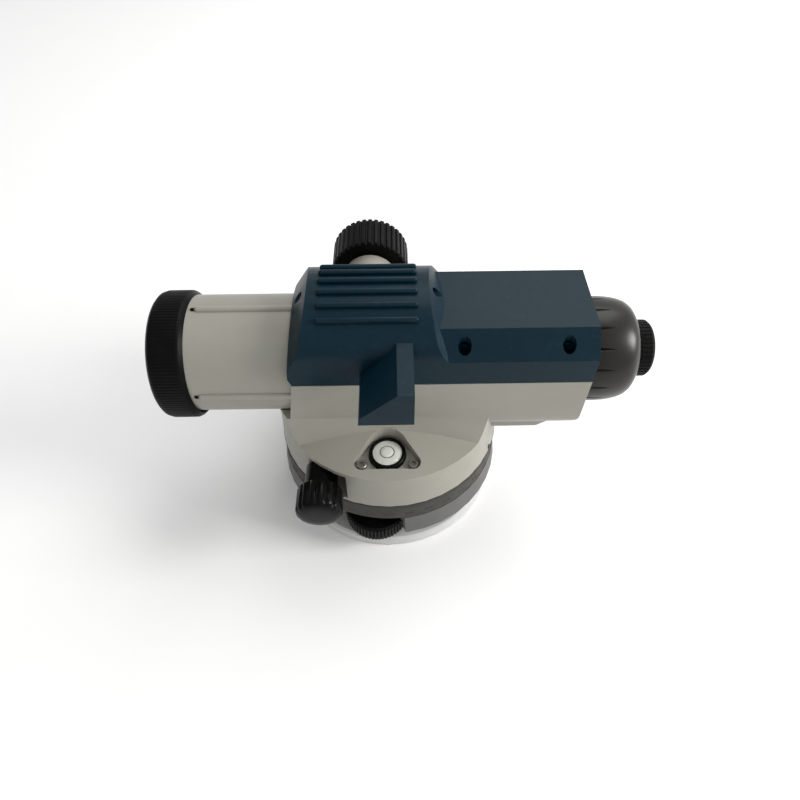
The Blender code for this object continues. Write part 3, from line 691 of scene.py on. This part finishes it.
MATT_BLACK = finish("matt_black_plastic", plastic((0.001, 0.001, 0.001), (0.004, 0.004, 0.004), 0.36))
middle, low, high, radius = extent("objective_hood", "X")
lines = 120
sides = lines * 4
rings = [(26.1, high - 0.3), (radius - 2.0, high), (radius - 0.5, high - 1.5), (radius, high - 2.6)]
rings += [(radius, low + 3.2), (radius - 0.6, low + 1.2), (radius - 1.9, low)]
rings += [(23.6, low), (23.3, low + 0.4)]
TUBE_STOP = -95.1
rings += [(23.3, TUBE_STOP), (26.1, TUBE_STOP)]
objective_hood = turned("objective_hood_moulding", rings, sides, hollow=True)
flute(objective_hood, sides, lines, (0,), 0.22, low + 3.0, high - 2.5, radius - 0.1)
ease(objective_hood, 0.1, 1, 25)
stand(objective_hood, "X", middle)
fit(objective_hood, MATT_BLACK, "alidade", "black_plastic", "objective_hood")

# ---- Objective: cell, retaining ring and the cemented pair of lenses.
# Black anodised cell with fine anti-glare grooves; the front lens has a green-purple coating.


def coated(start):
    drift = start.noise(14.0, 2.0)
    return {
        "Base Color": drift.blend((0.75, 0.93, 0.86, 1), (0.85, 0.80, 0.95, 1)),
        "Roughness": drift * 0.02 + 0.01,
        "Transmission Weight": 0.85,
        "IOR": 1.6,
        "Coat Weight": 0.6,
        "Coat Roughness": 0.02,
    }


COATED = finish("coated_objective_glass", coated)
middle, low, high, radius = extent("objective_cell", "X")
rings = [(17.5, high), (radius, high), (radius, low + 0.4), (radius - 0.4, low), (20.2, low)]
for k in range(4):
    groove = low + 0.5 + 0.45 * k
    rings += [(20.0, groove), (20.25, groove + 0.22)]
rings += [(20.0, high - 2.2), (17.5, high - 2.2)]
cell = turned("objective_cell_turning", rings, 96, hollow=True)
smooth(cell)
fit(stand(cell, "X", middle), ANODISED, "alidade", "black_anodised", "objective_cell")
middle, low, high, radius = extent("objective_retaining_ring", "X")
rings = [(17.6, high), (radius, high), (radius, low), (18.2, low), (17.6, low + 0.5)]
retainer = turned("retaining_ring_turning", rings, 96, hollow=True)
flute(retainer, 96, 4, (0, 1), 0.9, low - 0.1, low + 0.1, 18.0)
smooth(retainer)
fit(stand(retainer, "X", middle), ANODISED, "alidade", "black_anodised", "objective_retaining_ring")


def lens(name, node, front_sag, rear_sag, rounds=6):
    """A lens on the telescope's axis: (radius, place) rings across its two curved faces."""
    middle, low, high, radius = extent(node, "X")
    steps = [k / rounds for k in range(1, rounds + 1)]
    front = [(radius * s, low + front_sag * s * s) for s in steps]
    rear = [(radius * s, high - rear_sag * s * s) for s in reversed(steps)]
    piece = turned(name, [(0.2, low)] + front + rear + [(0.2, high)], 72)
    smooth(piece, 50)
    return stand(piece, "X", middle)


crown = lens("crown_lens", "objective_crown_lens", 1.6, 1.4)
fit(crown, COATED, "alidade", "glass", "objective_crown_lens")
frame["nodes"]["objective_flint_lens"].material_slots[0].material = GLASS

# ---- Focus knob and its bush on the right side.
# A painted boss cast to the body, and a hollow black knob with square-cut grip ribs round it.

middle, low, high, radius = extent("focus_bush", "Y")
BUSH_FOOT = 22.6
rings = [(2.3, high), (radius - 0.6, high), (radius, high - 0.6), (radius, low)]
rings += [(7.7, low), (7.7, BUSH_FOOT), (2.3, BUSH_FOOT)]
bush = turned("focus_bush_boss", rings, 72, hollow=True)
smooth(bush)
fit(stand(bush, "Y", middle), GREY_PAINT, "alidade", "grey_paint", "focus_bush")
middle, low, high, radius = extent("focus_knob", "Y")
ribs = 38
sides = ribs * 8
rings = [(2.5, low), (12.9, low), (14.2, low + 0.5), (radius - 0.9, low), (radius, low + 0.8)]
rings += [(radius, high - 1.6), (radius - 0.5, high - 0.6), (radius - 1.8, high)]
rings += [(13.0, high), (12.2, high - 0.7)]
rings += [(1.0, high - 0.7)]
focus_knob = turned("focus_knob_moulding", rings, sides)
flute(focus_knob, sides, ribs, (0, 1, 2), 0.85, low + 0.7, high - 0.5, radius - 0.6)
ease(focus_knob, 0.12, 1)
stand(focus_knob, "Y", middle)
fit(focus_knob, MATT_BLACK, "focus_drive", "black_plastic", "focus_knob")

# ---- Tangent knobs: the endless slow-motion drive, one knob on each side of the drum.
# Glossy black mouldings with broad rounded flutes and a domed front, pushed onto the steel shaft.

GLOSS_BLACK = finish(
    "gloss_black_plastic",
    plastic((0.001, 0.001, 0.001), (0.003, 0.003, 0.0035), 0.16, 0.006, 1.2, 0.11),
)
KNOB_FACE = 50.5
COLLAR = 7.3
for side, sign in {"near": -1, "far": 1}.items():
    middle, low, high, radius = extent(f"tangent_knob_{side}", "Y")
    flutes = 16
    sides = flutes * 10
    inner, outer_end = (high, low) if sign < 0 else (low, high)
    out = sign
    face = out * KNOB_FACE
    rings = [(2.8, inner), (COLLAR, inner), (COLLAR, face), (radius - 0.7, face)]
    rings += [(radius, face + out * 0.8), (radius, outer_end - out * 2.7)]
    rings += [(radius - 0.45, outer_end - out * 1.6), (radius - 1.3, outer_end - out * 0.8)]
    rings += [(radius - 2.8, outer_end - out * 0.3), (radius - 5.4, outer_end - out * 0.05)]
    rings.append((0.2, outer_end))
    knob = turned(f"tangent_knob_{side}_moulding", rings, sides)
    heights = sorted((face + out * 0.5, outer_end - out * 1.5))
    flute(knob, sides, flutes, (0,), 0.6, *heights, radius - 0.6)
    flute(knob, sides, flutes, (1, 9), 0.38, *heights, radius - 0.6)
    flute(knob, sides, flutes, (2, 8), 0.16, *heights, radius - 0.6)
    smooth(knob, 40)
    stand(knob, "Y", middle)
    fit(knob, GLOSS_BLACK, "tangent_drive", "black_plastic", f"tangent_knob_{side}")

# ---- Eyepiece: the domed cap over the adjusting screws, and the turning ring that focuses the crosshairs.
# Satin black mouldings; the cap has tapered slots for unscrewing it, and the ring fine grip ribs.


def satin_black(start):
    texture = start.noise(0.5, 2.0)
    clouds = start.noise(12.0, 3.0)
    return {
        "Base Color": clouds.blend((0.005, 0.0045, 0.004, 1), (0.010, 0.009, 0.007, 1)),
        "Roughness": texture * 0.1 + 0.26,
        "Specular IOR Level": 0.3,
        "Normal": texture.bump(0.01, 0.5),
    }


SATIN_BLACK = finish("satin_black_plastic", satin_black)
middle, low, high, radius = extent("eyepiece_cap", "X")
rings = [(20.9, low), (radius - 0.7, low), (radius - 0.45, low + 0.4), (radius - 0.15, low + 3.0)]
rings += [(radius, low + 5.5), (radius, low + 8.0), (radius - 0.2, low + 11.0), (radius - 0.6, low + 14.0)]
rings += [(radius - 1.2, low + 16.6), (radius - 2.1, low + 18.9), (radius - 3.6, low + 20.9)]
rings += [(radius - 5.6, low + 22.3), (radius - 8.2, low + 23.3), (12.8, high), (12.1, high - 0.4)]
rings += [(12.1, high - 2.7), (13.6, high - 2.7)]
rings += [(17.6, high - 6.3), (20.4, high - 11.8)]
cap = turned("eyepiece_cap_moulding", rings, 128, hollow=True)
bpy.ops.object.select_all(action="DESELECT")
bpy.ops.mesh.primitive_cone_add(
    vertices=4,
    radius1=1.5 * MM,
    radius2=0.15 * MM,
    depth=11 * MM,
    location=((radius + 0.3) * MM, 0, (low + 7) * MM),
)
slots = bpy.context.object
bpy.ops.object.transform_apply(location=True, rotation=False, scale=False)
bpy.ops.object.mode_set(mode="EDIT")
bpy.ops.mesh.select_all(action="SELECT")
slot_count = 16
turn = 2 * math.pi * (slot_count - 1) / slot_count
bpy.ops.mesh.spin(steps=slot_count - 1, dupli=True, angle=turn, center=(0, 0, 0), axis=(0, 0, 1))
bpy.ops.object.mode_set(mode="OBJECT")
only(cap)
slotting = cap.modifiers.new("slots", "BOOLEAN")
slotting.object = slots
bpy.ops.object.modifier_apply(modifier=slotting.name)
bpy.data.objects.remove(slots, do_unlink=True)
smooth(cap, 25)
fit(stand(cap, "X", middle), SATIN_BLACK, "alidade", "black_plastic", "eyepiece_cap")

middle, low, high, radius = extent("eyepiece_ring", "X")
ribs = 40
sides = ribs * 5
rings = [(9.4, low), (radius - 0.3, low), (radius, low + 0.3), (radius, high - 1.2), (radius - 1.0, high)]
rings += [(9.9, high), (9.4, high - 0.5)]
ring = turned("eyepiece_ring_moulding", rings, sides, hollow=True)
flute(ring, sides, ribs, (0, 1), 0.45, low + 0.1, high - 1.0, radius - 0.4)
ease(ring, 0.08, 1)
stand(ring, "X", middle)
fit(ring, BLACK, "eyepiece_ring", "black_plastic", "eyepiece_ring")
middle, low, high, radius = extent("eyepiece_barrel", "X")
rings = [(7.2, low), (radius, low), (radius, high - 0.4), (radius - 0.4, high)]
rings += [(7.6, high), (7.2, high - 0.5)]
barrel = turned("eyepiece_barrel_turning", rings, 72, hollow=True)
smooth(barrel)
fit(stand(barrel, "X", middle), ANODISED, "eyepiece_slide", "black_anodised", "eyepiece_barrel")
eye = lens("eye_lens_glass", "eye_lens", 0.6, 1.4, 4)
fit(eye, COATED, "eyepiece_slide", "glass", "eye_lens")

# ---- Studio: a white sheet under the instrument and soft light, strongest from the eyepiece end.


def sheet(start):
    fibre = start.noise(60.0, 3.0)
    white = fibre.blend((0.90, 0.90, 0.90, 1), (0.92, 0.92, 0.92, 1))
    return {"Base Color": white, "Roughness": 0.9}


bpy.ops.object.select_all(action="DESELECT")
bpy.ops.mesh.primitive_plane_add(size=8, location=(0, 0, -0.0005))
floor = bpy.context.object
floor.name = "studio_floor"
floor.data.materials.append(finish("studio_white", sheet))

world = bpy.data.worlds.new("studio_air")
world.use_nodes = True
air = Wire(world.node_tree)
direction = air.node("SeparateXYZ", None, {"Vector": air.node("TexCoord", output="Generated")}, output="X")
spread = {"Value": direction, "From Min": -1.0, "To Min": 0.3, "To Max": 1.15}
brightness = air.node("MapRange", None, spread)
air.plug(world.node_tree.nodes["Background"].inputs["Strength"], brightness)
world.node_tree.nodes["Background"].inputs["Color"].default_value = (1, 1, 1, 1)
bpy.context.scene.world = world


def softbox(name, place, target, size, watts, colour=(1, 1, 1)):
    """A square soft light aimed at a point; distances in metres."""
    light = bpy.data.lights.new(name, "AREA")
    light.energy = watts
    light.size = size
    light.color = colour
    lamp = bpy.data.objects.new(name, light)
    bpy.context.scene.collection.objects.link(lamp)
    aim = Vector(target) - Vector(place)
    lamp.matrix_world = Matrix.Translation(place) @ aim.to_track_quat("-Z", "Y").to_matrix().to_4x4()


softbox("key_light", (0.95, -0.15, 0.55), (0.02, 0, 0.07), 0.35, 9.0, (1.0, 0.99, 0.96))
softbox("top_light", (0.3, 0.6, 1.0), (0, 0, 0.05), 0.7, 4.5)

# ---- Camera: a little in front of the instrument and well above it.

PLACE = (3.3, -187.0, 282.0)
DOWN = math.radians(51.10)
YAW = math.radians(-0.70)
ROLL = math.radians(-0.293)
level_turn = Matrix.Rotation(YAW, 4, "Z")
tip = Matrix.Rotation(math.pi / 2 - DOWN, 4, "X")
roll_turn = Matrix.Rotation(ROLL, 4, "Z")
camera = bpy.data.objects.new("camera", bpy.data.cameras.new("camera"))
camera.data.sensor_width = 36
camera.data.lens = 27
camera.data.clip_start = 0.01
camera.matrix_world = Matrix.Translation(Vector(PLACE) * MM) @ level_turn @ tip @ roll_turn
bpy.context.scene.collection.objects.link(camera)
bpy.context.scene.camera = camera
bpy.context.scene.view_settings.view_transform = "Standard"
